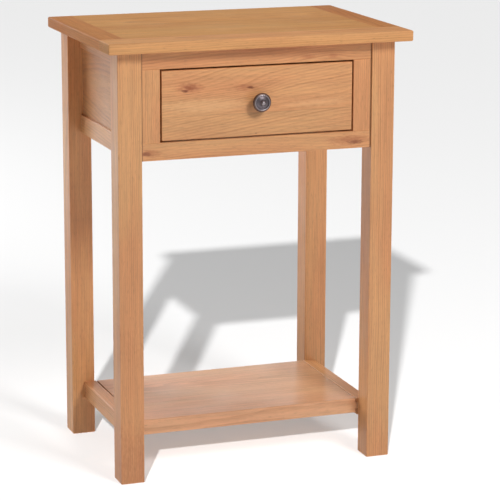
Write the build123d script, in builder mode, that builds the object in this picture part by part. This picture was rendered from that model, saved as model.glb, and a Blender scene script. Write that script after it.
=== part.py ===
from build123d import *
import os

# A side table in solid wood, with one drawer and a lower shelf.
#
# Millimetres. +X is the table's right, +Y its back, +Z up. The origin is on the floor, under the middle of
# the tabletop. Names that end in _X, _Y or _Z are spans, (low, high) pairs along that axis.

# ---------------------------------------------------------------- driving dimensions
TOP_WIDTH = 500
TOP_DEPTH = 350
HEIGHT = 705
TOP_THICKNESS = 17
TOP_EDGE_RADIUS = 2.5
END_STRIP_WIDTH = 40
FRONT_STRIP_WIDTH = 52
TOP_TONGUE_LENGTH = 8
TOP_TONGUE_THICKNESS = 6
TOP_TONGUE_MARGIN = 20

LEG = 38.5
LEG_EDGE_RADIUS = 1.2
FOOT_CHAMFER = 1
SIDE_OVERHANG = 20.75
FRONT_OVERHANG = 25
BACK_OVERHANG = 5.5

EDGE_CHAMFER = 0.6
FRAME_THICKNESS = 20
FRAME_SETBACK = 3
OPENING_WIDTH = 321
OPENING_HEIGHT = 114
TOP_RAIL_HEIGHT = 29
BOTTOM_RAIL_HEIGHT = 27.5

SIDE_SETBACK = 20.75
BACK_SETBACK = 3
RAIL_THICKNESS = 17.75
RAIL_HEIGHT = 30
PANEL_THICKNESS = 8
PANEL_SETBACK = 4
PANEL_TONGUE = 6

SHELF_TOP = 90.5
SHELF_THICKNESS = 24.5
SHELF_EDGE_CHAMFER = 1
SHELF_RAIL_WIDTH = 20.5
SHELF_RAIL_HEIGHT = 28
SHELF_SEAM = 2
SHELF_TONGUE_LENGTH = 5
SHELF_TONGUE_THICKNESS = 10

DRAWER_GAP = 2.8
DRAWER_TRAVEL = 220
DRAWER_FRONT_THICKNESS = 18
DRAWER_SIDE_THICKNESS = 12
DRAWER_SIDE_LENGTH = 253
DRAWER_SIDE_LIFT = 1.9
DRAWER_SIDE_HEIGHT = 103
DRAWER_BACK_HEIGHT = 85
DRAWER_BACK_HOUSING = 4
DRAWER_BOTTOM_THICKNESS = 5
DRAWER_BOTTOM_LIFT = 8
DRAWER_GROOVE = 6
TAIL_COUNT = 3
TAIL_LENGTH = 11
TAIL_ROOT = 20
TAIL_TIP = 25

RUNNER_THICKNESS = 23.5
RUNNER_LEDGE = 10
RUNNER_CLEARANCE = 0.4
GUIDE_HEIGHT = 24
GUIDE_CLEARANCE = 1
KICKER_WIDTH = 40
KICKER_CLEARANCE = 2
STOP_HEIGHT = 18
STOP_CLEARANCE = 0.4
CATCH_WIDTH = 30
CATCH_HEIGHT = 50
CATCH_OVERLAP = 13
CATCH_CLEARANCE = 0.5

KNOB_HEIGHT = 602
KNOB_LENGTH = 26
KNOB_RADIUS = 15
KNOB_FOOT_RADIUS = 8
KNOB_FOOT_THICKNESS = 2
KNOB_NECK_RADIUS = 5
KNOB_FLARE_RADIUS = 9
KNOB_FLARE = 13
KNOB_EDGE = 16.5
KNOB_FACE = 19.5
KNOB_DISH = 18.8
KNOB_STEP = 21.2
KNOB_BEAD_RADIUS = 11.6
KNOB_RING_RADIUS = 5.8
KNOB_BEAD_WIDTH = 1.6
KNOB_BEAD_HEIGHT = 0.8
KNOB_BOSS_RADIUS = 4.3

DOWEL_RADIUS = 4
DOWEL_LENGTH = 30
SCREW_RADIUS = 2
SCREW_HEAD_RADIUS = 4
SCREW_HEAD_HEIGHT = 3
SCREW_BORE_RADIUS = 5
TOP_SCREW_LENGTH = 30
TOP_SCREW_BORE = 17
TOP_SCREW_SPACING = 120
CHEEK_SCREW_LENGTH = 32
CHEEK_SCREW_BORE = 22
CHEEK_SCREW_SPACING = 190
CATCH_SCREW_LENGTH = 32
CATCH_SCREW_SPACING = 16
BOTTOM_SCREW_LENGTH = 20
BOTTOM_SCREW_SPACING = 110
KNOB_SCREW_LENGTH = 30

SIDES = {"left": -1, "right": 1}


# ---------------------------------------------------------------- helpers
def middle(span):
    """Return the middle of a span."""
    return (span[0] + span[1]) / 2


def pair(centre, spacing):
    """Return two places, spacing apart, on either side of the centre."""
    return (centre - spacing / 2, centre + spacing / 2)


def mirrored(side, low, high):
    """Return the X span from low to high on one side: 1 is the right, -1 the left."""
    return tuple(sorted((side * low, side * high)))


def block(x_span, y_span, z_span):
    """Add a square-edged block that fills the three spans."""
    spans = (x_span, y_span, z_span)
    sizes = [high - low for low, high in spans]
    with Locations(tuple(middle(span) for span in spans)):
        Box(*sizes)


def screws(length, seats, turn):
    """Add screws with their heads on the seats. Before the turn they point up along +Z."""
    for seat in seats:
        with Locations(Location(seat, turn)):
            Cylinder(SCREW_RADIUS, length, align=(Align.CENTER, Align.CENTER, Align.MIN))
            Cylinder(SCREW_HEAD_RADIUS, SCREW_HEAD_HEIGHT, align=(Align.CENTER, Align.CENTER, Align.MAX))


def screw_bores(depth, mouths, turn):
    """Cut the wide bores that screw heads sink into. Before the turn they run up along +Z."""
    for mouth in mouths:
        with Locations(Location(mouth, turn)):
            Cylinder(
                SCREW_BORE_RADIUS,
                depth,
                align=(Align.CENTER, Align.CENTER, Align.MIN),
                mode=Mode.SUBTRACT,
            )


def cut_away(*pieces):
    """Cut the seats of finished pieces out of the part that is being built."""
    for piece in pieces:
        add(piece.part, mode=Mode.SUBTRACT)


def rail(x_span, y_span, z_span, long_axis, *seated):
    """Return a rail with its long edges eased, cut for the pieces that are seated in it."""
    with BuildPart() as piece:
        block(x_span, y_span, z_span)
        chamfer(piece.edges().filter_by(long_axis), EDGE_CHAMFER)
        cut_away(*seated)
    return piece


def save(piece, name):
    """Label a finished piece and write it as its own STEP file."""
    piece.part.label = name
    export_step(piece.part, f"parts/{name}.step")


os.makedirs("parts", exist_ok=True)

# ---------------------------------------------------------------- where the carcass stands
UNDERSIDE = HEIGHT - TOP_THICKNESS
TOP_RIGHT = TOP_WIDTH / 2
TOP_BACK = TOP_DEPTH / 2
LEG_OUTER = TOP_RIGHT - SIDE_OVERHANG
LEG_INNER = LEG_OUTER - LEG
LEG_FRONT = FRONT_OVERHANG - TOP_BACK
LEG_BACK = TOP_BACK - BACK_OVERHANG
LEG_ROWS = {"front": LEG_FRONT + LEG / 2, "back": LEG_BACK - LEG / 2}
BETWEEN_LEGS_X = (-LEG_INNER, LEG_INNER)
BETWEEN_LEGS_Y = (LEG_FRONT + LEG, LEG_BACK - LEG)

FRAME_Y = (LEG_FRONT + FRAME_SETBACK, LEG_FRONT + FRAME_SETBACK + FRAME_THICKNESS)
OPENING_RIGHT = OPENING_WIDTH / 2
OPENING_Z = (UNDERSIDE - TOP_RAIL_HEIGHT - OPENING_HEIGHT, UNDERSIDE - TOP_RAIL_HEIGHT)
TOP_RAIL_Z = (OPENING_Z[1], UNDERSIDE)
BOTTOM_RAIL_Z = (OPENING_Z[0] - BOTTOM_RAIL_HEIGHT, OPENING_Z[0])

SIDE_FACE = LEG_OUTER - SIDE_SETBACK
BACK_FACE = LEG_BACK - BACK_SETBACK
BACK_RAIL_Y = (BACK_FACE - RAIL_THICKNESS, BACK_FACE)
RAIL_ROWS = {
    "upper": (UNDERSIDE - RAIL_HEIGHT, UNDERSIDE),
    "lower": (BOTTOM_RAIL_Z[0], BOTTOM_RAIL_Z[0] + RAIL_HEIGHT),
}
PANEL_Z = (RAIL_ROWS["lower"][1] - PANEL_TONGUE, RAIL_ROWS["upper"][0] + PANEL_TONGUE)
SHELF_RAIL_INNER = SIDE_FACE - SHELF_RAIL_WIDTH
SHELF_RAIL_Z = (SHELF_TOP - SHELF_RAIL_HEIGHT, SHELF_TOP)

# ---------------------------------------------------------------- where the drawer and its guides stand
DRAWER_RIGHT = OPENING_RIGHT - DRAWER_GAP
DRAWER_INNER = DRAWER_RIGHT - DRAWER_SIDE_THICKNESS
DRAWER_FRONT_Y = (FRAME_Y[0], FRAME_Y[0] + DRAWER_FRONT_THICKNESS)
DRAWER_FRONT_Z = (OPENING_Z[0] + DRAWER_GAP, OPENING_Z[1] - DRAWER_GAP)
DRAWER_SIDE_Y = (DRAWER_FRONT_Y[1], DRAWER_FRONT_Y[1] + DRAWER_SIDE_LENGTH)
DRAWER_SIDE_Z = (OPENING_Z[0] + DRAWER_SIDE_LIFT, OPENING_Z[0] + DRAWER_SIDE_LIFT + DRAWER_SIDE_HEIGHT)
DRAWER_FLOOR = DRAWER_SIDE_Z[0] + DRAWER_BOTTOM_LIFT
DRAWER_FLOOR_Z = (DRAWER_FLOOR, DRAWER_FLOOR + DRAWER_BOTTOM_THICKNESS)
DRAWER_BACK_Y = (DRAWER_SIDE_Y[1] - DRAWER_SIDE_THICKNESS, DRAWER_SIDE_Y[1])
DRAWER_BACK_Z = (DRAWER_FLOOR_Z[1], DRAWER_FLOOR_Z[1] + DRAWER_BACK_HEIGHT)

GUIDED_Y = (FRAME_Y[1], BACK_RAIL_Y[0])
RUNNER_TOP = DRAWER_SIDE_Z[0] - RUNNER_CLEARANCE
RUNNER_Z = (RUNNER_TOP - RUNNER_THICKNESS, RUNNER_TOP)
GUIDE_INNER = DRAWER_RIGHT + GUIDE_CLEARANCE
RUNNER_INNER = GUIDE_INNER - RUNNER_LEDGE
KICKER_INNER = LEG_INNER - KICKER_WIDTH
KICKER_Z = (DRAWER_SIDE_Z[1] + KICKER_CLEARANCE, UNDERSIDE)
CATCH_BACK = DRAWER_BACK_Y[0] - DRAWER_TRAVEL - CATCH_CLEARANCE
CATCH_Z = (DRAWER_BACK_Z[1] - CATCH_OVERLAP, DRAWER_BACK_Z[1] - CATCH_OVERLAP + CATCH_HEIGHT)

# ---------------------------------------------------------------- dowels, half in each side of a joint
rail_heights = [middle(rail_z) for rail_z in RAIL_ROWS.values()]
frame_dowels = [(middle(FRAME_Y), middle(TOP_RAIL_Z)), (middle(FRAME_Y), middle(BOTTOM_RAIL_Z))]
back_dowels = [(middle(BACK_RAIL_Y), z) for z in rail_heights]
side_dowels = [(SIDE_FACE - RAIL_THICKNESS / 2, z) for z in rail_heights]
shelf_dowel = (SIDE_FACE - SHELF_RAIL_WIDTH / 2, middle(SHELF_RAIL_Z))
stile_dowel_x = OPENING_RIGHT + 2 * DOWEL_RADIUS

with BuildPart() as dowels:
    for side in SIDES.values():
        with Locations(*[(side * LEG_INNER, y, z) for y, z in frame_dowels + back_dowels]):
            Cylinder(DOWEL_RADIUS, DOWEL_LENGTH, rotation=(0, 90, 0))
        with Locations(*[(side * x, y, z) for x, z in side_dowels + [shelf_dowel] for y in BETWEEN_LEGS_Y]):
            Cylinder(DOWEL_RADIUS, DOWEL_LENGTH, rotation=(90, 0, 0))
        with Locations(*[(side * stile_dowel_x, middle(FRAME_Y), z) for z in OPENING_Z]):
            Cylinder(DOWEL_RADIUS, DOWEL_LENGTH)
save(dowels, "dowels")

# ---------------------------------------------------------------- screws
cheek_screw_rows = pair(middle(GUIDED_Y), CHEEK_SCREW_SPACING)
top_screw_rows = pair(middle(GUIDED_Y), TOP_SCREW_SPACING)
top_screw_x = KICKER_INNER + KICKER_WIDTH / 4
bottom_screw_columns = (-BOTTOM_SCREW_SPACING, 0, BOTTOM_SCREW_SPACING)

with BuildPart() as top_screws:
    for side in SIDES.values():
        screws(
            TOP_SCREW_LENGTH,
            [(side * top_screw_x, y, KICKER_Z[0] + TOP_SCREW_BORE) for y in top_screw_rows],
            (0, 0, 0),
        )
save(top_screws, "top_screws")

cheek_mouths = ((RUNNER_INNER, middle(RUNNER_Z)), (KICKER_INNER, rail_heights[0]))
with BuildPart() as runner_screws:
    for side in SIDES.values():
        screws(
            CHEEK_SCREW_LENGTH,
            [(side * (x + CHEEK_SCREW_BORE), y, z) for x, z in cheek_mouths for y in cheek_screw_rows],
            (0, 90 * side, 0),
        )
save(runner_screws, "runner_screws")

with BuildPart() as catch_screws:
    catch_screw_z = middle((OPENING_Z[1], CATCH_Z[1]))
    screws(
        CATCH_SCREW_LENGTH,
        [(x, CATCH_BACK, catch_screw_z) for x in pair(0, CATCH_SCREW_SPACING)],
        (90, 0, 0),
    )
save(catch_screws, "catch_screws")

with BuildPart() as drawer_bottom_screws:
    screws(
        BOTTOM_SCREW_LENGTH,
        [(x, middle(DRAWER_BACK_Y), DRAWER_FLOOR_Z[0]) for x in bottom_screw_columns],
        (0, 0, 0),
    )
save(drawer_bottom_screws, "drawer_bottom_screws")

with BuildPart() as knob_screw:
    screws(KNOB_SCREW_LENGTH, [(0, DRAWER_FRONT_Y[1], KNOB_HEIGHT)], (90, 0, 0))
save(knob_screw, "knob_screw")

# ---------------------------------------------------------------- tabletop
TOP_Z = (UNDERSIDE, HEIGHT)
FIELD_RIGHT = TOP_RIGHT - END_STRIP_WIDTH
FIELD_FRONT = FRONT_STRIP_WIDTH - TOP_BACK

with BuildPart() as top_field_panel:
    block((-FIELD_RIGHT, FIELD_RIGHT), (FIELD_FRONT, TOP_BACK), TOP_Z)
    fillet(top_field_panel.faces().sort_by(Axis.Y)[-1].edges().filter_by(Axis.X), TOP_EDGE_RADIUS)
    tongue_right = FIELD_RIGHT + TOP_TONGUE_LENGTH
    block(
        (-tongue_right, tongue_right),
        (FIELD_FRONT - TOP_TONGUE_LENGTH, TOP_BACK - TOP_TONGUE_MARGIN),
        pair(middle(TOP_Z), TOP_TONGUE_THICKNESS),
    )
    cut_away(top_screws)
save(top_field_panel, "top_field_panel")

with BuildPart() as top_front_strip:
    block((-TOP_RIGHT, TOP_RIGHT), (-TOP_BACK, FIELD_FRONT), TOP_Z)
    seam = top_front_strip.faces().sort_by(Axis.Y)[-1]
    fillet(top_front_strip.edges() - seam.edges(), TOP_EDGE_RADIUS)
    cut_away(top_field_panel)
save(top_front_strip, "top_front_strip")

for name, side in SIDES.items():
    with BuildPart() as top_strip:
        block(mirrored(side, FIELD_RIGHT, TOP_RIGHT), (FIELD_FRONT, TOP_BACK), TOP_Z)
        front_seam = top_strip.faces().sort_by(Axis.Y)[0]
        field_seam = top_strip.faces().sort_by(Axis((0, 0, 0), (side, 0, 0)))[0]
        fillet(top_strip.edges() - front_seam.edges() - field_seam.edges(), TOP_EDGE_RADIUS)
        cut_away(top_field_panel)
    save(top_strip, f"top_{name}_strip")

# ---------------------------------------------------------------- panels, with their edges in grooves
with BuildPart() as back_panel:
    panel_face = BACK_FACE - PANEL_SETBACK
    block(
        (-LEG_INNER - PANEL_TONGUE, LEG_INNER + PANEL_TONGUE),
        (panel_face - PANEL_THICKNESS, panel_face),
        PANEL_Z,
    )
save(back_panel, "back_panel")

side_panels = {}
for name, side in SIDES.items():
    with BuildPart() as side_panel:
        panel_face = SIDE_FACE - PANEL_SETBACK
        block(
            mirrored(side, panel_face - PANEL_THICKNESS, panel_face),
            (BETWEEN_LEGS_Y[0] - PANEL_TONGUE, BETWEEN_LEGS_Y[1] + PANEL_TONGUE),
            PANEL_Z,
        )
    save(side_panel, f"{name}_side_panel")
    side_panels[name] = side_panel

# ---------------------------------------------------------------- legs
for name, side in SIDES.items():
    for row, leg_y in LEG_ROWS.items():
        with BuildPart() as leg:
            with BuildSketch():
                with Locations((side * (LEG_OUTER - LEG / 2), leg_y)):
                    RectangleRounded(LEG, LEG, LEG_EDGE_RADIUS)
            extrude(amount=UNDERSIDE)
            chamfer(leg.faces().sort_by(Axis.Z)[0].edges(), FOOT_CHAMFER)
            cut_away(dowels, back_panel, side_panels[name])
        save(leg, f"{row}_{name}_leg")

# ---------------------------------------------------------------- front frame round the drawer
save(rail(BETWEEN_LEGS_X, FRAME_Y, TOP_RAIL_Z, Axis.X, dowels, catch_screws), "front_top_rail")
save(rail(BETWEEN_LEGS_X, FRAME_Y, BOTTOM_RAIL_Z, Axis.X, dowels), "front_bottom_rail")
for name, side in SIDES.items():
    stile = rail(mirrored(side, OPENING_RIGHT, LEG_INNER), FRAME_Y, OPENING_Z, Axis.Z, dowels)
    save(stile, f"front_{name}_stile")

# ---------------------------------------------------------------- back and side rails
for row, rail_z in RAIL_ROWS.items():
    back_rail = rail(BETWEEN_LEGS_X, BACK_RAIL_Y, rail_z, Axis.X, dowels, back_panel)
    save(back_rail, f"back_{row}_rail")
    for name, side in SIDES.items():
        rail_x = mirrored(side, SIDE_FACE - RAIL_THICKNESS, SIDE_FACE)
        side_rail = rail(rail_x, BETWEEN_LEGS_Y, rail_z, Axis.Y, dowels, side_panels[name], runner_screws)
        save(side_rail, f"{name}_side_{row}_rail")

# ---------------------------------------------------------------- shelf, tongued into its two rails
with BuildPart() as shelf_board:
    shelf_right = SHELF_RAIL_INNER - SHELF_SEAM
    block((-shelf_right, shelf_right), BETWEEN_LEGS_Y, (SHELF_TOP - SHELF_THICKNESS, SHELF_TOP))
    chamfer(shelf_board.edges().filter_by(Axis.X), SHELF_EDGE_CHAMFER)
    tongue_right = SHELF_RAIL_INNER + SHELF_TONGUE_LENGTH
    tongue_z = pair(SHELF_TOP - SHELF_THICKNESS / 2, SHELF_TONGUE_THICKNESS)
    block((-tongue_right, tongue_right), BETWEEN_LEGS_Y, tongue_z)
save(shelf_board, "shelf_board")

for name, side in SIDES.items():
    rail_x = mirrored(side, SHELF_RAIL_INNER, SIDE_FACE)
    shelf_rail = rail(rail_x, BETWEEN_LEGS_Y, SHELF_RAIL_Z, Axis.Y, dowels, shelf_board)
    save(shelf_rail, f"{name}_shelf_rail")

# ---------------------------------------------------------------- runners, kickers, stops and catch
for name, side in SIDES.items():
    with BuildPart() as runner:
        block(mirrored(side, RUNNER_INNER, LEG_INNER), GUIDED_Y, RUNNER_Z)
        block(mirrored(side, GUIDE_INNER, LEG_INNER), GUIDED_Y, (RUNNER_TOP, RUNNER_TOP + GUIDE_HEIGHT))
        mouths = [(side * RUNNER_INNER, y, middle(RUNNER_Z)) for y in cheek_screw_rows]
        screw_bores(CHEEK_SCREW_BORE, mouths, (0, 90 * side, 0))
        cut_away(runner_screws)
    save(runner, f"{name}_drawer_runner")

    with BuildPart() as kicker:
        block(mirrored(side, KICKER_INNER, LEG_INNER), GUIDED_Y, KICKER_Z)
        mouths = [(side * KICKER_INNER, y, rail_heights[0]) for y in cheek_screw_rows]
        screw_bores(CHEEK_SCREW_BORE, mouths, (0, 90 * side, 0))
        mouths = [(side * top_screw_x, y, KICKER_Z[0]) for y in top_screw_rows]
        screw_bores(TOP_SCREW_BORE, mouths, (0, 0, 0))
        cut_away(runner_screws, top_screws)
    save(kicker, f"{name}_kicker")

with BuildPart() as drawer_stops:
    for side in SIDES.values():
        block(
            mirrored(side, RUNNER_INNER, GUIDE_INNER),
            (DRAWER_SIDE_Y[1] + STOP_CLEARANCE, GUIDED_Y[1]),
            (RUNNER_TOP, RUNNER_TOP + STOP_HEIGHT),
        )
save(drawer_stops, "drawer_stops")

with BuildPart() as drawer_catch:
    block(pair(0, CATCH_WIDTH), (FRAME_Y[1], CATCH_BACK), CATCH_Z)
    chamfer(drawer_catch.faces().sort_by(Axis.Z)[0].edges(), EDGE_CHAMFER)
    cut_away(catch_screws)
save(drawer_catch, "drawer_catch")

# ---------------------------------------------------------------- drawer
with BuildPart() as drawer_bottom:
    floor_right = DRAWER_INNER + DRAWER_GROOVE
    floor_y = (DRAWER_FRONT_Y[1] - DRAWER_GROOVE, DRAWER_SIDE_Y[1])
    block((-floor_right, floor_right), floor_y, DRAWER_FLOOR_Z)
    cut_away(drawer_bottom_screws)
save(drawer_bottom, "drawer_bottom")

with BuildPart() as drawer_back:
    back_right = DRAWER_INNER + DRAWER_BACK_HOUSING
    block((-back_right, back_right), DRAWER_BACK_Y, DRAWER_BACK_Z)
    chamfer(drawer_back.faces().sort_by(Axis.Z)[-1].edges().filter_by(Axis.X), EDGE_CHAMFER)
    cut_away(drawer_bottom_screws)
save(drawer_back, "drawer_back")

drawer_sides = []
for name, side in SIDES.items():
    with BuildPart() as drawer_side:
        side_x = mirrored(side, DRAWER_INNER, DRAWER_RIGHT)
        block(side_x, DRAWER_SIDE_Y, DRAWER_SIDE_Z)
        chamfer(drawer_side.faces().sort_by(Axis.Z)[-1].edges().filter_by(Axis.Y), EDGE_CHAMFER)
        with BuildSketch(Plane.YZ.offset(side_x[0])):
            for place in range(TAIL_COUNT):
                tail_z = DRAWER_SIDE_Z[0] + (place + 0.5) * DRAWER_SIDE_HEIGHT / TAIL_COUNT
                root_z = pair(tail_z, TAIL_ROOT)
                tip_z = pair(tail_z, TAIL_TIP)
                root_y = DRAWER_SIDE_Y[0]
                tip_y = root_y - TAIL_LENGTH
                with BuildLine():
                    Polyline(
                        (root_y, root_z[0]),
                        (tip_y, tip_z[0]),
                        (tip_y, tip_z[1]),
                        (root_y, root_z[1]),
                        close=True,
                    )
                make_face()
        extrude(amount=DRAWER_SIDE_THICKNESS)
        cut_away(drawer_bottom, drawer_back)
    save(drawer_side, f"drawer_{name}_side")
    drawer_sides.append(drawer_side)

with BuildPart() as drawer_front:
    block((-DRAWER_RIGHT, DRAWER_RIGHT), DRAWER_FRONT_Y, DRAWER_FRONT_Z)
    chamfer(drawer_front.faces().sort_by(Axis.Y)[0].edges(), EDGE_CHAMFER)
    cut_away(drawer_bottom, knob_screw, *drawer_sides)
save(drawer_front, "drawer_front")

# The outline is drawn with its first axis out of the drawer front and its second along the knob's radius.
knob_origin = (0, DRAWER_FRONT_Y[0], KNOB_HEIGHT)
knob_plane = Plane(origin=knob_origin, x_dir=(0, -1, 0), z_dir=(-1, 0, 0))
knob_bead = pair(KNOB_BEAD_RADIUS, KNOB_BEAD_WIDTH)
knob_ring = pair(KNOB_RING_RADIUS, KNOB_BEAD_WIDTH)
with BuildPart() as knob:
    with BuildSketch(knob_plane):
        with BuildLine():
            foot = Polyline((0, 0), (0, KNOB_FOOT_RADIUS), (KNOB_FOOT_THICKNESS, KNOB_FOOT_RADIUS))
            neck_middle = (middle((KNOB_FOOT_THICKNESS, KNOB_FLARE)), KNOB_NECK_RADIUS)
            neck = ThreePointArc(foot @ 1, neck_middle, (KNOB_FLARE, KNOB_FLARE_RADIUS))
            flare = Line(neck @ 1, (KNOB_EDGE, KNOB_RADIUS))
            shoulder = TangentArc(flare @ 1, (KNOB_FACE, knob_bead[1]), tangent=(1, 0))
            bead_top = (KNOB_FACE + KNOB_BEAD_HEIGHT, KNOB_BEAD_RADIUS)
            bead = ThreePointArc(shoulder @ 1, bead_top, (KNOB_FACE, knob_bead[0]))
            dish_edge = (KNOB_DISH, knob_bead[0])
            dish = Polyline(bead @ 1, dish_edge, (KNOB_STEP, knob_ring[1]))
            ring_top = (KNOB_STEP + KNOB_BEAD_HEIGHT, KNOB_RING_RADIUS)
            ring = ThreePointArc(dish @ 1, ring_top, (KNOB_STEP, knob_ring[0]))
            step = Line(ring @ 1, (KNOB_STEP, KNOB_BOSS_RADIUS))
            TangentArc((KNOB_LENGTH, 0), step @ 1, tangent=(0, 1))
            Line((KNOB_LENGTH, 0), (0, 0))
        make_face()
    revolve(axis=Axis(knob_origin, (0, -1, 0)))
    cut_away(knob_screw)
save(knob, "knob")
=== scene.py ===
import math

import bpy
from mathutils import Euler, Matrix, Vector


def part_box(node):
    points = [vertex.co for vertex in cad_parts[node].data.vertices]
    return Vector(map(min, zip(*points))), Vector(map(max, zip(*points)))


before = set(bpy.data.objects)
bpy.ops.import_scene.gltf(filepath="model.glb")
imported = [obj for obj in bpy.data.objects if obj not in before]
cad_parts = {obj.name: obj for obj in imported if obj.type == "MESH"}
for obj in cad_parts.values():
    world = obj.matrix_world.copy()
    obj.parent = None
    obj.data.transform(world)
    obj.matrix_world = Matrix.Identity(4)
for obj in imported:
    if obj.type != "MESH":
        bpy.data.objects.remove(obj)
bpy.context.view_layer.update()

# Looks of the side table: solid wood, lacquered on the frame and matt on the top, a dark cast knob and
# zinc-plated screws. Everything is in metres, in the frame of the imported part: +X right, +Y back, +Z up.

MM = 0.001
# The distance from the table's middle to the inner faces of its legs.
leg_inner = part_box("front_right_leg")[0].x


# ---------------------------------------------------------------- colours
def linear(red, green, blue):
    """Return an 8-bit screen colour as a linear RGBA colour, by the sRGB formula."""
    channels = []
    for value in (red, green, blue):
        share = value / 255
        channels.append(share / 12.92 if share <= 0.04045 else ((share + 0.055) / 1.055) ** 2.4)
    return (*channels, 1.0)


# ---------------------------------------------------------------- a short way to write node trees
SEED_STEPS = (3.7, 1.3, 2.9)    # how far one unit of seed moves a noise, on each axis


class Shader:
    """Adds nodes to a tree and links them. An input may be a socket or a plain value."""

    def __init__(self, tree):
        self.tree = tree

    def add(self, kind, settings=None, **inputs):
        """Add a node. Settings are its properties; inputs are sockets named with _ for a space."""
        node = self.tree.nodes.new(kind)
        for name, value in (settings or {}).items():
            setattr(node, name, value)
        for name, value in inputs.items():
            self.feed(node.inputs[name.replace("_", " ")], value)
        return node

    def feed(self, socket, value):
        """Link a socket to an input, or set the input's own value."""
        if isinstance(value, bpy.types.NodeSocket):
            self.tree.links.new(value, socket)
        else:
            socket.default_value = value

    def fill(self, sockets, values):
        """Feed a row of values to a row of inputs."""
        for socket, value in zip(sockets, values):
            self.feed(socket, value)

    def point(self):
        """Return the shaded point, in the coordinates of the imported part."""
        return self.add("ShaderNodeTexCoord").outputs["Object"]

    def math(self, operation, *values):
        """Return the result of a Math node."""
        node = self.add("ShaderNodeMath", {"operation": operation})
        self.fill(node.inputs, values)
        return node.outputs[0]

    def vector(self, operation, *values):
        """Return the vector result of a Vector Math node."""
        node = self.add("ShaderNodeVectorMath", {"operation": operation})
        self.fill(node.inputs, values)
        return node.outputs[0]

    def split(self, vector):
        """Return the three parts of a vector."""
        return self.add("ShaderNodeSeparateXYZ", Vector=vector).outputs[:3]

    def join(self, x, y, z):
        """Return a vector made of three parts."""
        return self.add("ShaderNodeCombineXYZ", X=x, Y=y, Z=z).outputs[0]

    def noise(self, vector, stretch, seed, detail, rough=0.5):
        """Return noise from about 0 to 1, with stretch cycles per metre along each axis."""
        away = [step * seed for step in SEED_STEPS]
        scaled = self.vector("MULTIPLY_ADD", vector, stretch, away)
        node = self.add("ShaderNodeTexNoise", Vector=scaled, Scale=1.0, Detail=detail, Roughness=rough)
        return node.outputs["Fac"]

    def spread(self, value, low, high, new_low=0.0, new_high=1.0, smooth=True):
        """Map a value from one range to another, clamped."""
        kind = "SMOOTHSTEP" if smooth else "LINEAR"
        node = self.add("ShaderNodeMapRange", {"interpolation_type": kind, "clamp": True})
        self.fill(node.inputs, (value, low, high, new_low, new_high))
        return node.outputs[0]

    def blend(self, share, first, second):
        """Return a mix of two colours."""
        node = self.add("ShaderNodeMix", {"data_type": "RGBA", "clamp_factor": True})
        factor, first_colour, second_colour = node.inputs[0], node.inputs[6], node.inputs[7]
        self.fill((factor, first_colour, second_colour), (share, first, second))
        return node.outputs[2]


def new_material(name):
    """Return a new material with the shader that writes its nodes, and its Principled node."""
    material = bpy.data.materials.new(name)
    material.use_nodes = True
    return material, Shader(material.node_tree), material.node_tree.nodes["Principled BSDF"]


# ---------------------------------------------------------------- wood
# A board is cut out of a tree in the shader: growth rings stand round a heart line that runs roughly along
# the board, so each face, edge and end shows the figure that it would have in solid wood. The board's own
# frame has its origin in the middle of the board, its first axis along the grain and two across it.
# Most noises add a number of their own to the board's seed, so that they don't run alike.
GRAIN_ORDERS = {"X": (0, 1, 2), "Y": (1, 2, 0), "Z": (2, 0, 1)}
BOARD_SEED_STEP = 7.3           # from one board's seed to the next
KNOT_BROWN = linear(112, 50, 26)
RED_BROWN = linear(168, 92, 56)
PALE = linear(236, 184, 132)

GLUE_LINE_FULL = 0.2 * MM       # a glue line is darkest up to here from its joint
GLUE_LINE_END = 0.7 * MM        # and gone from here on
STRIP_ALONG = 0.61              # how far the figure shifts along the grain from one glued strip to the next
STRIP_ACROSS = 0.017            # and how far across it

# A point's distance from a mark is counted in the mark's own half sizes and squared.
MARK_RAGGED = 2.4               # how much noise is added to it, for a ragged rim
MARK_FULL = -0.3                # with the noise added, the mark is full below this
MARK_END = 1.4                  # and gone above this
PUSH_FADE = -0.12               # how fast a mark's push on the rings dies away with it

LATE_START = 0.2                # where in a ring its dark late wood begins
LATE_FULL = 0.88                # where it is darkest
LATE_BREAK = 0.9                # and from where it breaks off, to be gone where the next ring begins
FAINTEST_YEAR = 0.3             # the strength of the faintest ring

EDGE_REACH = 3 * MM             # how far in from a board's edges the wood is rubbed, and painted lighter as wear and as a painted highlight
SEAM_SHADE_START = 2.8 * MM           # the painted shade of the seam begins this far from the leg
SEAM_SHADE_FULL = 0.8 * MM            # and is darkest this far from it
END_GRAIN_START = 0.6           # how squarely a face has to cut the grain to begin to look like end grain
END_GRAIN_FULL = 0.9            # and to look wholly like it
COAT_ROUGHNESS = 0.22
RELIEF_HEIGHT = 0.1 * MM        # the height that a full step in the relief stands for
NOISE_LOW = 0.3                 # noise mostly keeps between these two values
NOISE_HIGH = 0.7


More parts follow.
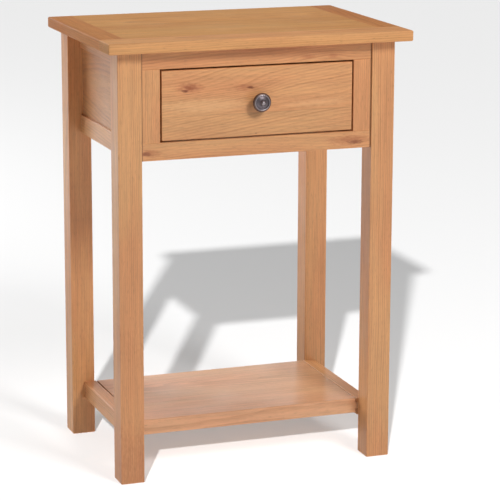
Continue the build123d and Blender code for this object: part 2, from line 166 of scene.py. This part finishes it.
class Timber:
    """How one board is cut from its tree, and its colours. Lengths are in metres."""

    def __init__(self, along, heart, **changes):
        self.along = along              # the axis that the grain follows
        self.heart = heart              # where the heart line passes, on the two axes across the grain
        self.lean = (0.01, 0.02)        # how far the heart line drifts across, per metre of length
        self.ring = 3 * MM              # thickness of one year's ring
        self.wander = 3 * MM            # how far the rings stray from straight
        self.light = linear(222, 164, 110)
        self.dark = linear(176, 108, 62)
        self.warm = linear(214, 142, 94)
        self.figure = 0.46              # how strongly the rings show
        self.bands = 0.05               # how much the broad streaks differ in tone
        self.mottle = 0.6               # how strongly the warm patches show
        self.fade = 0.0                 # how much warmer the board gets, per metre along the grain
        self.marks = ()                 # its knots and stains
        self.joints = ()                # where it is glued up from strips, on the axis below
        self.joint_axis = 1
        self.strip_tones = ()           # the brightness of each strip, one more than there are joints
        self.rough = 0.4                # the roughness of the wood itself
        self.gloss = 0.5                # how strongly the wood itself mirrors; 0.5 is usual
        self.lacquer = 0.2              # how much clear coat lies over it
        self.seam = 0.0                 # how dark the painted shade of the seam is, where the board meets a leg
        for name, value in changes.items():
            setattr(self, name, value)


class Mark:
    """A knot, a stain or a pale patch, placed along the grain and across one face."""

    def __init__(self, along, across, length, width, depth, colour=RED_BROWN, push=0.0):
        self.along = along
        self.across = across            # on the board's third axis
        self.length = length            # half its length along the grain
        self.width = width              # half its width across the grain
        self.depth = depth              # how strongly it shows, 0 to 1
        self.colour = colour
        self.push = push                # how far it pushes the rings aside


def board_point(shader, timber, low, high):
    """Return the shaded point in the board's own frame."""
    parts = shader.split(shader.vector("SUBTRACT", shader.point(), (low + high) / 2))
    return shader.join(*[parts[axis] for axis in GRAIN_ORDERS[timber.along]])


def grain_noise(shader, local, seed, along, across, detail, rough=0.5):
    """Return noise with this many cycles per metre along the grain and across it."""
    return shader.noise(local, (along, across, across), seed, detail, rough)


def glued_strips(shader, timber, local):
    """Return the number of the strip that the point is in, its tone, and a mask of the glue lines."""
    height = shader.split(local)[timber.joint_axis]
    number = 0.0
    line = 0.0
    tone = timber.strip_tones[0]
    for joint, below, above in zip(timber.joints, timber.strip_tones, timber.strip_tones[1:]):
        over = shader.math("GREATER_THAN", height, joint)
        number = shader.math("ADD", number, over)
        tone = shader.math("MULTIPLY_ADD", over, above - below, tone)
        gap = shader.math("ABSOLUTE", shader.math("SUBTRACT", height, joint))
        line = shader.math("MAXIMUM", line, shader.spread(gap, GLUE_LINE_FULL, GLUE_LINE_END, 1.0, 0.0))
    return number, tone, line


def mark_masks(shader, timber, local, seed):
    """Return a mask for each mark, and how far the marks push the rings aside, in metres."""
    along, _, across = shader.split(local)
    rim = grain_noise(shader, local, seed, along=110.0, across=300.0, detail=3.0)
    ragged = shader.math("SUBTRACT", rim, 0.5)
    masks = []
    push = 0.0
    for mark in timber.marks:
        run = shader.math("DIVIDE", shader.math("SUBTRACT", along, mark.along), mark.length)
        rise = shader.math("DIVIDE", shader.math("SUBTRACT", across, mark.across), mark.width)
        far = shader.math("MULTIPLY_ADD", rise, rise, shader.math("MULTIPLY", run, run))
        if mark.push:
            near = shader.math("EXPONENT", shader.math("MULTIPLY", far, PUSH_FADE))
            push = shader.math("MULTIPLY_ADD", near, mark.push, push)
        edge = shader.math("MULTIPLY_ADD", ragged, MARK_RAGGED, far)
        masks.append(shader.spread(edge, MARK_FULL, MARK_END, mark.depth, 0.0))
    return masks, push


def ring_count(shader, timber, local, push, seed):
    """Return how many rings lie between the heart line and the point."""
    along, across, up = shader.split(local)
    heart_across = shader.math("MULTIPLY_ADD", along, timber.lean[0], timber.heart[0])
    heart_up = shader.math("MULTIPLY_ADD", along, timber.lean[1], timber.heart[1])
    from_across = shader.math("SUBTRACT", across, heart_across)
    from_up = shader.math("SUBTRACT", up, heart_up)
    square = shader.math("MULTIPLY_ADD", from_up, from_up, shader.math("MULTIPLY", from_across, from_across))
    radius = shader.math("ADD", shader.math("SQRT", square), push)
    slow = grain_noise(shader, local, seed, along=2.6, across=9.0, detail=1.0)
    medium = grain_noise(shader, local, seed + 11, along=9.0, across=40.0, detail=2.0)
    fine = grain_noise(shader, local, seed + 17, along=26.0, across=240.0, detail=1.0)
    # Each noise moves the rings by its own multiple of the board's wander.
    for noise, multiple in ((slow, 5.0), (medium, 0.9), (fine, 0.25)):
        stray = shader.math("SUBTRACT", noise, 0.5)
        radius = shader.math("MULTIPLY_ADD", stray, multiple * timber.wander, radius)
    return shader.math("DIVIDE", radius, timber.ring)


def late_wood(shader, rings, seed):
    """Return the dark share of each ring: it starts slowly, ends sharply and differs from year to year."""
    part = shader.math("FRACT", rings)
    year = shader.math("ADD", shader.math("FLOOR", rings), seed)
    chance = shader.add("ShaderNodeTexWhiteNoise", {"noise_dimensions": "1D"}, W=year).outputs["Value"]
    rise = shader.spread(part, LATE_START, LATE_FULL)
    fall = shader.spread(part, LATE_BREAK, 1.0, 1.0, 0.0)
    strength = shader.spread(chance, 0.0, 1.0, FAINTEST_YEAR, 1.0, smooth=False)
    return shader.math("MULTIPLY", shader.math("MULTIPLY", rise, fall), strength)


def wear_and_highlight_mask(shader, timber, local, low, high):
    """Return 1 on the board's outer edges, falling to 0 at EDGE_REACH from them."""
    size = high - low
    gaps = []
    for part, axis in zip(shader.split(local), GRAIN_ORDERS[timber.along]):
        gaps.append(shader.math("SUBTRACT", size[axis] / 2, shader.math("ABSOLUTE", part)))
    # An edge is where two faces are near, so the second smallest of the three gaps counts.
    smaller = shader.math("MINIMUM", gaps[0], gaps[1])
    larger = shader.math("MAXIMUM", gaps[0], gaps[1])
    second = shader.math("MAXIMUM", smaller, shader.math("MINIMUM", larger, gaps[2]))
    return shader.spread(second, 0.0, EDGE_REACH, 1.0, 0.0)


def painted_leg_shade_mask(shader):
    """Return a mask of the narrow strip of the front frame that lies along the legs, where shade is painted
    into the seam.
    """
    from_middle = shader.math("ABSOLUTE", shader.split(shader.point())[0])
    return shader.spread(from_middle, leg_inner - SEAM_SHADE_START, leg_inner - SEAM_SHADE_FULL)


def end_grain(shader, timber):
    """Return 1 on faces that cut across the grain."""
    normal = shader.split(shader.add("ShaderNodeTexCoord").outputs["Normal"])
    facing = shader.math("ABSOLUTE", normal[GRAIN_ORDERS[timber.along][0]])
    return shader.spread(facing, END_GRAIN_START, END_GRAIN_FULL)


class Grain:
    """What shows in one board: masks from about 0 to 1, the tone of its strips and the place along it."""

    def __init__(self, shader, timber, low, high, seed):
        whole = board_point(shader, timber, low, high)
        local = whole
        self.strip_tone = 1.0
        self.lines = 0.0
        if timber.joints:
            number, self.strip_tone, self.lines = glued_strips(shader, timber, whole)
            shift_along = shader.math("MULTIPLY", number, STRIP_ALONG)
            shift_across = shader.math("MULTIPLY", number, STRIP_ACROSS)
            local = shader.vector("ADD", whole, shader.join(shift_along, 0.0, shift_across))
        self.marks, push = mark_masks(shader, timber, whole, seed)
        self.late = late_wood(shader, ring_count(shader, timber, local, push, seed), seed)
        cloud = grain_noise(shader, local, seed + 31, along=3.5, across=18.0, detail=3.0)
        self.patches = shader.spread(cloud, 0.36, 0.66)
        self.bands = grain_noise(shader, local, seed + 37, along=6.0, across=70.0, detail=3.0)
        self.streaks = grain_noise(shader, local, seed + 41, along=14.0, across=300.0, detail=3.0, rough=0.6)
        self.fibres = grain_noise(shader, local, seed + 47, along=55.0, across=2600.0, detail=1.0)
        # Only the peaks of this noise are pores.
        dots = grain_noise(shader, local, seed + 53, along=90.0, across=1900.0, detail=0.0)
        self.pores = shader.spread(dots, 0.66, 0.74)
        self.smudges = grain_noise(shader, whole, seed + 61, along=14.0, across=14.0, detail=2.0)
        self.ends = end_grain(shader, timber)
        self.edges = wear_and_highlight_mask(shader, timber, whole, low, high)
        self.seam = painted_leg_shade_mask(shader)
        self.along = shader.split(whole)[0]     # in metres from the board's middle


def wood_colour(shader, timber, grain):
    """Return the board's colour: warm patches and rings first, then the tones, then the marks."""
    warmth = shader.math("MULTIPLY", grain.patches, timber.mottle)
    warmth = shader.math("MULTIPLY_ADD", grain.along, timber.fade, warmth)
    colour = shader.blend(shader.math("MAXIMUM", warmth, 0.0), timber.light, timber.warm)
    colour = shader.blend(shader.math("MULTIPLY", grain.late, timber.figure), colour, timber.dark)
    # Each row has a mask, the two ends of the range that counts, and the brightness at either end.
    tones = (
        (grain.bands, NOISE_LOW, NOISE_HIGH, 1 - timber.bands, 1 + timber.bands),
        (grain.streaks, NOISE_LOW, NOISE_HIGH, 0.91, 1.07),
        (grain.fibres, NOISE_LOW, NOISE_HIGH, 0.95, 1.04),
        (grain.pores, 0.0, 1.0, 1.0, 0.8),
        (grain.ends, 0.0, 1.0, 1.0, 0.8),
        (grain.lines, 0.0, 1.0, 1.0, 0.8),
        # Edges are painted lighter: partly wear, partly a painted highlight on the eased edges.
        (grain.edges, 0.0, 1.0, 1.0, 1.08),
        # Painted shade: the frame is darkened in the seam where it meets a leg.
        (grain.seam, 0.0, 1.0, 1.0, 1 - timber.seam),
    )
    tone = grain.strip_tone
    for mask, start, end, at_start, at_end in tones:
        factor = shader.spread(mask, start, end, at_start, at_end, smooth=False)
        tone = shader.math("MULTIPLY", tone, factor)
    colour = shader.vector("MULTIPLY", colour, shader.join(tone, tone, tone))
    for mark, mask in zip(timber.marks, grain.marks):
        colour = shader.blend(mask, colour, mark.colour)
    return colour


def wood_roughness(shader, timber, grain):
    """Return the board's roughness: rougher on end grain, smoother on late wood and rubbed edges."""
    smoothest = timber.rough - 0.05
    roughest = timber.rough + 0.07
    rough = shader.spread(grain.smudges, NOISE_LOW, NOISE_HIGH, smoothest, roughest, smooth=False)
    for mask, change in ((grain.late, -0.05), (grain.ends, 0.15), (grain.edges, -0.06)):
        rough = shader.math("MULTIPLY_ADD", mask, change, rough)
    return rough


def wood_relief(shader, grain):
    """Return the normal of the board: late wood and streaks stand up, pores and glue lines lie low."""
    height = shader.math("MULTIPLY", grain.streaks, 0.5)
    for mask, rise in ((grain.late, 0.35), (grain.pores, -0.5), (grain.lines, -0.6)):
        height = shader.math("MULTIPLY_ADD", mask, rise, height)
    return shader.add("ShaderNodeBump", Height=height, Strength=0.5, Distance=RELIEF_HEIGHT).outputs[0]


def wood(name, timber, low, high, seed):
    """Return the material of one board that fills the box from low to high."""
    material, shader, surface = new_material(name)
    grain = Grain(shader, timber, low, high, seed)
    shader.feed(surface.inputs["Base Color"], wood_colour(shader, timber, grain))
    shader.feed(surface.inputs["Roughness"], wood_roughness(shader, timber, grain))
    shader.feed(surface.inputs["Normal"], wood_relief(shader, grain))
    surface.inputs["Specular IOR Level"].default_value = timber.gloss
    surface.inputs["Coat Weight"].default_value = timber.lacquer
    surface.inputs["Coat Roughness"].default_value = COAT_ROUGHNESS
    return material


# ---------------------------------------------------------------- metals
# On the knob's face, from the middle out: a boss, a raised ring of metal (the bead) and the shoulder.
BOSS_FULL = 2.0 * MM            # the boss is rubbed bright, partly as a painted highlight, up to this radius
BOSS_END = 4.6 * MM             # and not at all from this one on
BEAD_RADIUS = 11.6 * MM
BEAD_FULL = 0.4 * MM            # to either side of the bead's radius, it is rubbed bright, partly as a painted highlight, up to here
BEAD_END = 1.2 * MM             # and not at all from here on
SHOULDER_REFLECTION_START = 12.2 * MM      # the painted brown reflection of the wood on the shoulder begins at this radius
SHOULDER_REFLECTION_FULL = 13.6 * MM
RUBBED_CHANGE = -0.12           # how much the rubbing changes the metal's roughness
CAST_HEIGHT = 0.15 * MM         # the height that a full step in the cast skin stands for
DISH_GREY = linear(122, 112, 116)
# Painted reflection of the wood on the knob's shoulder.
PAINTED_WOOD_REFLECTION_BROWN = linear(112, 90, 78)
# Rubbed metal with a painted highlight, for the bead and the boss.
RUBBED_HIGHLIGHT_GREY = linear(186, 176, 180)
ZINC_LIGHT = linear(176, 178, 180)
ZINC_DARK = linear(140, 142, 146)


def even_noise(shader, point, cycles, seed):
    """Return noise with the same number of cycles per metre on every axis."""
    return shader.noise(point, (cycles, cycles, cycles), seed, detail=3.0)


def dark_metal(name, centre):
    """Return aged pewter for the knob: brown on its shoulder as a painted reflection of the wood, and bright
    on the bead and the boss, partly rubbed and partly a painted highlight.
    """
    material, shader, surface = new_material(name)
    point = shader.vector("SUBTRACT", shader.point(), centre)
    parts = shader.split(point)
    square = shader.math("MULTIPLY_ADD", parts[2], parts[2], shader.math("MULTIPLY", parts[0], parts[0]))
    radius = shader.math("SQRT", square)
    cast = even_noise(shader, point, 900.0, seed=5.0)
    cloud = even_noise(shader, point, 160.0, seed=9.0)
    off_bead = shader.math("ABSOLUTE", shader.math("SUBTRACT", radius, BEAD_RADIUS))
    bead = shader.spread(off_bead, BEAD_FULL, BEAD_END, 1.0, 0.0)
    boss = shader.spread(radius, BOSS_FULL, BOSS_END, 1.0, 0.0)
    shoulder_painted_reflection = shader.spread(radius, SHOULDER_REFLECTION_START, SHOULDER_REFLECTION_FULL)
    patchy = shader.spread(cloud, 0.3, 0.65, new_low=0.35)
    rubbed_and_highlit = shader.math("MULTIPLY", shader.math("MAXIMUM", bead, boss), patchy)
    # Painted reflection: the shoulder is coloured brown to stand for the wood mirrored in it.
    colour = shader.blend(shoulder_painted_reflection, DISH_GREY, PAINTED_WOOD_REFLECTION_BROWN)
    # The bead and the boss are painted lighter: partly rubbed wear, partly a painted highlight.
    colour = shader.blend(rubbed_and_highlit, colour, RUBBED_HIGHLIGHT_GREY)
    shader.feed(surface.inputs["Base Color"], colour)
    rough = shader.spread(cast, NOISE_LOW, NOISE_HIGH, new_low=0.36, new_high=0.52)
    rough = shader.math("MULTIPLY_ADD", rubbed_and_highlit, RUBBED_CHANGE, rough)
    shader.feed(surface.inputs["Roughness"], rough)
    bump = shader.add("ShaderNodeBump", Height=cast, Strength=0.5, Distance=CAST_HEIGHT)
    shader.feed(surface.inputs["Normal"], bump.outputs[0])
    surface.inputs["Metallic"].default_value = 0.85
    return material


def zinc(name):
    """Return zinc-plated steel for the screws."""
    material, shader, surface = new_material(name)
    cloud = even_noise(shader, shader.point(), 400.0, seed=3.0)
    colour = shader.blend(shader.spread(cloud, 0.35, 0.65), ZINC_LIGHT, ZINC_DARK)
    shader.feed(surface.inputs["Base Color"], colour)
    rough = shader.spread(cloud, NOISE_LOW, NOISE_HIGH, new_low=0.25, new_high=0.45)
    shader.feed(surface.inputs["Roughness"], rough)
    surface.inputs["Metallic"].default_value = 1.0
    return material


# ---------------------------------------------------------------- the boards of the table
def bare(along, heart, **changes):
    """Return sanded wood with no lacquer, for the pieces inside."""
    looks = {
        "light": linear(224, 188, 146),
        "dark": linear(188, 142, 98),
        "warm": linear(216, 172, 130),
        "rough": 0.62,
        "lacquer": 0.0,
    }
    return Timber(along, heart, **{**looks, **changes})


# Looks that boards share: the matt finish and three woods of the top, the shelf, the panels, and a figure
# of wide rings that wander.
matt = {"rough": 0.55, "gloss": 0.12, "lacquer": 0.0}
field_wood = {
    "light": linear(216, 160, 100),
    "dark": linear(174, 112, 58),
    "warm": linear(208, 144, 88),
    **matt,
}
# Lighter and warmer than the field: partly the strip's own colour, partly painted light for its lit front
# edge.
front_strip_wood_painted_light = {
    "light": linear(222, 164, 110),
    "dark": linear(178, 114, 64),
    "warm": linear(216, 148, 98),
    **matt,
}
strip_wood = {
    "light": linear(200, 136, 82),
    "dark": linear(152, 90, 48),
    "warm": linear(190, 120, 74),
    **matt,
}
# Paler and pinker than the other boards: partly the board's own colour, partly painted light and a painted
# sheen on the shelf.
shelf_wood_painted_light_and_sheen = {"light": linear(230, 178, 134), "dark": linear(190, 130, 88), "warm": linear(226, 162, 122)}
panel_wood = {"light": linear(208, 150, 100), "dark": linear(164, 100, 58), "warm": linear(200, 130, 86)}
plain_sawn = {"ring": 4.5 * MM, "wander": 5 * MM, "lean": (0.03, 0.06)}

# A board's place in this list sets its seed, so the order is a part of the look.
boards = {
    "top_field_panel": Timber(
        "X",
        (0.01, -0.07),
        joints=(-0.075, 0.012, 0.083),
        strip_tones=(1.0, 0.96, 1.02, 0.98),
        **field_wood,
        **plain_sawn,
    ),
    "top_front_strip": Timber("X", (0.012, -0.06), **front_strip_wood_painted_light),
    "top_left_strip": Timber("Y", (-0.05, 0.02), **strip_wood),
    "top_right_strip": Timber("Y", (-0.06, -0.02), **strip_wood),
    "front_left_leg": Timber(
        "Z",
        (0.085, 0.02),
        marks=(Mark(-0.33, 0.0, 90 * MM, 45 * MM, 0.4), Mark(-0.12, -0.01, 50 * MM, 12 * MM, 0.2)),
    ),
    "front_right_leg": Timber("Z", (-0.09, 0.04)),
    "back_left_leg": Timber("Z", (0.1, -0.02)),
    "back_right_leg": Timber("Z", (-0.08, -0.03)),
    # The front rails and stiles carry painted shade in their seams along the legs.
    "front_top_rail": Timber(
        "X",
        (0.06, 0.05),
        seam=0.7,
        marks=(
            Mark(0.082, -0.006, 12 * MM, 4 * MM, 0.4, push=4 * MM),
            Mark(0.126, -0.007, 9 * MM, 4 * MM, 0.45, push=4 * MM),
            Mark(0.02, 0.008, 60 * MM, 3 * MM, 0.3),
        ),
    ),
    "front_bottom_rail": Timber(
        "X",
        (0.05, -0.05),
        seam=0.7,
        marks=(
            Mark(0.15, 0.0, 38 * MM, 8 * MM, 0.65, push=7 * MM),
            Mark(0.163, -0.004, 14 * MM, 3.5 * MM, 0.6, KNOT_BROWN),
            Mark(-0.18, -0.002, 20 * MM, 6 * MM, 0.6, push=5 * MM),
            Mark(-0.183, -0.003, 8 * MM, 3 * MM, 0.6, KNOT_BROWN),
        ),
    ),
    "front_left_stile": Timber("Z", (0.08, 0.03), seam=0.7),
    "front_right_stile": Timber("Z", (-0.08, 0.03), seam=0.7),
    "left_side_upper_rail": Timber("Y", (0.06, 0.05)),
    "left_side_lower_rail": Timber("Y", (0.05, 0.06)),
    "left_side_panel": Timber("Y", (0.0, 0.07), **panel_wood, **plain_sawn),
    "right_side_upper_rail": Timber("Y", (0.06, -0.05)),
    "right_side_lower_rail": Timber("Y", (0.05, -0.06)),
    "right_side_panel": Timber("Y", (0.0, -0.07), **panel_wood, **plain_sawn),
    "back_upper_rail": Timber("X", (-0.06, 0.05)),
    "back_lower_rail": Timber("X", (-0.05, -0.06)),
    "back_panel": Timber("X", (-0.08, 0.01), **panel_wood, **plain_sawn),
    "shelf_board": Timber(
        "X",
        (0.02, -0.05),
        joints=(-0.035, 0.05),
        strip_tones=(1.0, 0.98, 1.02),
        fade=-1.2,
        **shelf_wood_painted_light_and_sheen,
        **plain_sawn,
    ),
    "left_shelf_rail": Timber("Y", (0.05, 0.04)),
    "right_shelf_rail": Timber("Y", (0.05, -0.04)),
    "drawer_front": Timber(
        "X",
        (0.05, -0.088),
        ring=3.2 * MM,
        lean=(0.0, 0.12),
        joints=(-0.0182,),
        strip_tones=(0.95, 1.02),
        joint_axis=2,
        marks=(
            Mark(-0.085, -0.003, 80 * MM, 11 * MM, 0.5, PALE),
            Mark(0.1, -0.008, 60 * MM, 7 * MM, 0.35, PALE),
            Mark(-0.112, 0.026, 23 * MM, 9 * MM, 0.65, push=7 * MM),
            Mark(-0.112, 0.0265, 10 * MM, 4.5 * MM, 0.75, linear(150, 78, 42)),
            Mark(-0.121, 0.0215, 6 * MM, 2.4 * MM, 0.85, KNOT_BROWN),
            Mark(-0.022, 0.023, 19 * MM, 6 * MM, 0.55, push=8 * MM),
            Mark(-0.0135, 0.022, 6 * MM, 2.2 * MM, 0.95, KNOT_BROWN),
            Mark(-0.0035, -0.051, 2 * MM, 1.2 * MM, 0.6, KNOT_BROWN, push=1 * MM),
        ),
    ),
    "drawer_left_side": bare("Y", (0.01, 0.06)),
    "drawer_right_side": bare("Y", (0.01, -0.06)),
    "drawer_back": bare("X", (0.06, 0.0)),
    "drawer_bottom": bare("X", (0.0, -0.12), **plain_sawn),
    "left_drawer_runner": bare("Y", (0.05, 0.04)),
    "right_drawer_runner": bare("Y", (0.05, -0.04)),
    "left_kicker": bare("Y", (0.05, 0.04)),
    "right_kicker": bare("Y", (0.05, -0.04)),
    "drawer_stops": bare("X", (0.05, 0.04)),
    "drawer_catch": bare("X", (0.05, 0.04)),
    "dowels": bare("Z", (0.3, 0.3)),
}


def dress(node, material):
    """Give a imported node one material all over."""
    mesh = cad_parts[node].data
    mesh.materials.clear()
    mesh.materials.append(material)


for number, (node, timber) in enumerate(boards.items()):
    low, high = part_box(node)
    dress(node, wood(node + "_wood", timber, low, high, BOARD_SEED_STEP * number))

screw_zinc = zinc("screw_zinc")
for node in ("top_screws", "runner_screws", "catch_screws", "drawer_bottom_screws", "knob_screw"):
    dress(node, screw_zinc)
knob_low, knob_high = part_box("knob")
dress("knob", dark_metal("knob_metal", (knob_low + knob_high) / 2))


# ---------------------------------------------------------------- floor, light and camera
FLOOR_RADIUS = 30
FLOOR_GREY = 0.66
SURROUND_AS_LIGHT = 0.107       # the strength of the surround where it lights the scene
SURROUND_AS_SEEN = 0.72         # and where the camera looks straight at it
SUN_SIZE = math.radians(1.5)    # the angle that the suns fill, which softens a shadow's edge
SUN_HEIGHT = math.radians(28)   # the low sun stands this far above the horizon
SUN_TURN = math.radians(26)     # its light runs to the back, turned this far to the right
CAMERA_PLACE = (-1.212, -3.427, 1.176)
CAMERA_TILT_DOWN = 13.08        # degrees
CAMERA_ROLL = -0.17
CAMERA_TURN = -20.04            # less than 0 is from straight back towards the right


def pale_floor():
    """Add a wide round floor."""
    bpy.ops.mesh.primitive_circle_add(vertices=96, radius=FLOOR_RADIUS, fill_type="NGON", location=(0, 0, 0))
    disc = bpy.context.object
    disc.name = "floor"
    material, _, surface = new_material("pale_floor")
    surface.inputs["Base Color"].default_value = (FLOOR_GREY, FLOOR_GREY, FLOOR_GREY, 1)
    surface.inputs["Roughness"].default_value = 0.9
    disc.data.materials.append(material)
    return disc


def aim(lamp, place, target):
    """Put a lamp in its place and point it at the target."""
    lamp.location = place
    lamp.rotation_euler = (Vector(target) - Vector(place)).to_track_quat("-Z", "Y").to_euler()
    bpy.context.scene.collection.objects.link(lamp)


def link_floor(lamp, disc, state):
    """Make the lamp light only the floor (INCLUDE) or everything but the floor (EXCLUDE)."""
    receivers = bpy.data.collections.new(lamp.name + "_floor")
    receivers.objects.link(disc)
    receivers.collection_objects[0].light_linking.link_state = state
    lamp.light_linking.receiver_collection = receivers


def soft_box(name, place, target, size, watts):
    """Add a square soft light."""
    light = bpy.data.lights.new(name, "AREA")
    light.shape = "SQUARE"
    light.size = size
    light.energy = watts
    lamp = bpy.data.objects.new(name, light)
    lamp.visible_camera = False
    aim(lamp, place, target)
    return lamp


def floor_sun(name, disc, towards, strength):
    """Add a sun that lights only the floor, and return its light."""
    light = bpy.data.lights.new(name, "SUN")
    light.energy = strength
    light.angle = SUN_SIZE
    lamp = bpy.data.objects.new(name, light)
    aim(lamp, (0, 0, 0), towards)
    link_floor(lamp, disc, "INCLUDE")
    return light


def studio_world():
    """Add an even white surround: dim as a light, pale where it is seen behind the floor."""
    world = bpy.data.worlds.new("studio")
    world.use_nodes = True
    shader = Shader(world.node_tree)
    seen = shader.add("ShaderNodeLightPath").outputs["Is Camera Ray"]
    strength = shader.spread(seen, 0.0, 1.0, SURROUND_AS_LIGHT, SURROUND_AS_SEEN)
    backdrop = world.node_tree.nodes["Background"]
    backdrop.inputs["Color"].default_value = (1, 1, 1, 1)
    shader.feed(backdrop.inputs["Strength"], strength)
    bpy.context.scene.world = world


def camera():
    """Add the camera: in front and to the left, with a long lens, tilted down to the table."""
    data = bpy.data.cameras.new("camera")
    data.sensor_width = 36
    data.lens = 163.5
    data.clip_end = 200
    eye = bpy.data.objects.new("camera", data)
    eye.location = CAMERA_PLACE
    degrees = (90 - CAMERA_TILT_DOWN, CAMERA_ROLL, CAMERA_TURN)
    eye.rotation_euler = Euler([math.radians(angle) for angle in degrees])
    bpy.context.scene.collection.objects.link(eye)
    bpy.context.scene.camera = eye


floor = pale_floor()
studio_world()

# The key lights the front from above and a little from the right. The pool brightens the floor behind.
soft_box("key", place=(0.75, -2.6, 2.3), target=(0, 0, 0.5), size=0.8, watts=56)
soft_box("back_pool", place=(-1.7, 2.6, 0.9), target=(-1.7, 2.6, 0.0), size=1.6, watts=30)

# These leave the floor out: one from behind and the left for the left side, one from above for the top,
# and a small one from low behind whose reflection shows on the shelf.
for lamp in (
    soft_box("rim", place=(-1.5, 2.3, 2.1), target=(0, 0, 0.5), size=1.6, watts=64),
    soft_box("overhead", place=(0.7, 0.3, 2.6), target=(0, 0, 0.7), size=1.2, watts=10),
    soft_box("shelf_sheen", place=(0.85, 2.5, 0.7), target=(0, 0, 0.1), size=0.7, watts=2.2),
):
    link_floor(lamp, floor, "EXCLUDE")

# A low sun from the front left throws the long shadow on the floor, and a fill without shadow whitens it.
away_from_sun = (math.sin(SUN_TURN), math.cos(SUN_TURN), -math.tan(SUN_HEIGHT))
floor_sun("low_sun", floor, towards=away_from_sun, strength=4.8)
floor_fill = floor_sun("floor_fill", floor, towards=(0, 0, -1), strength=1.4)
floor_fill.use_shadow = False
floor_fill.cycles.max_bounces = 0
camera()
bpy.context.scene.view_settings.view_transform = "Standard"
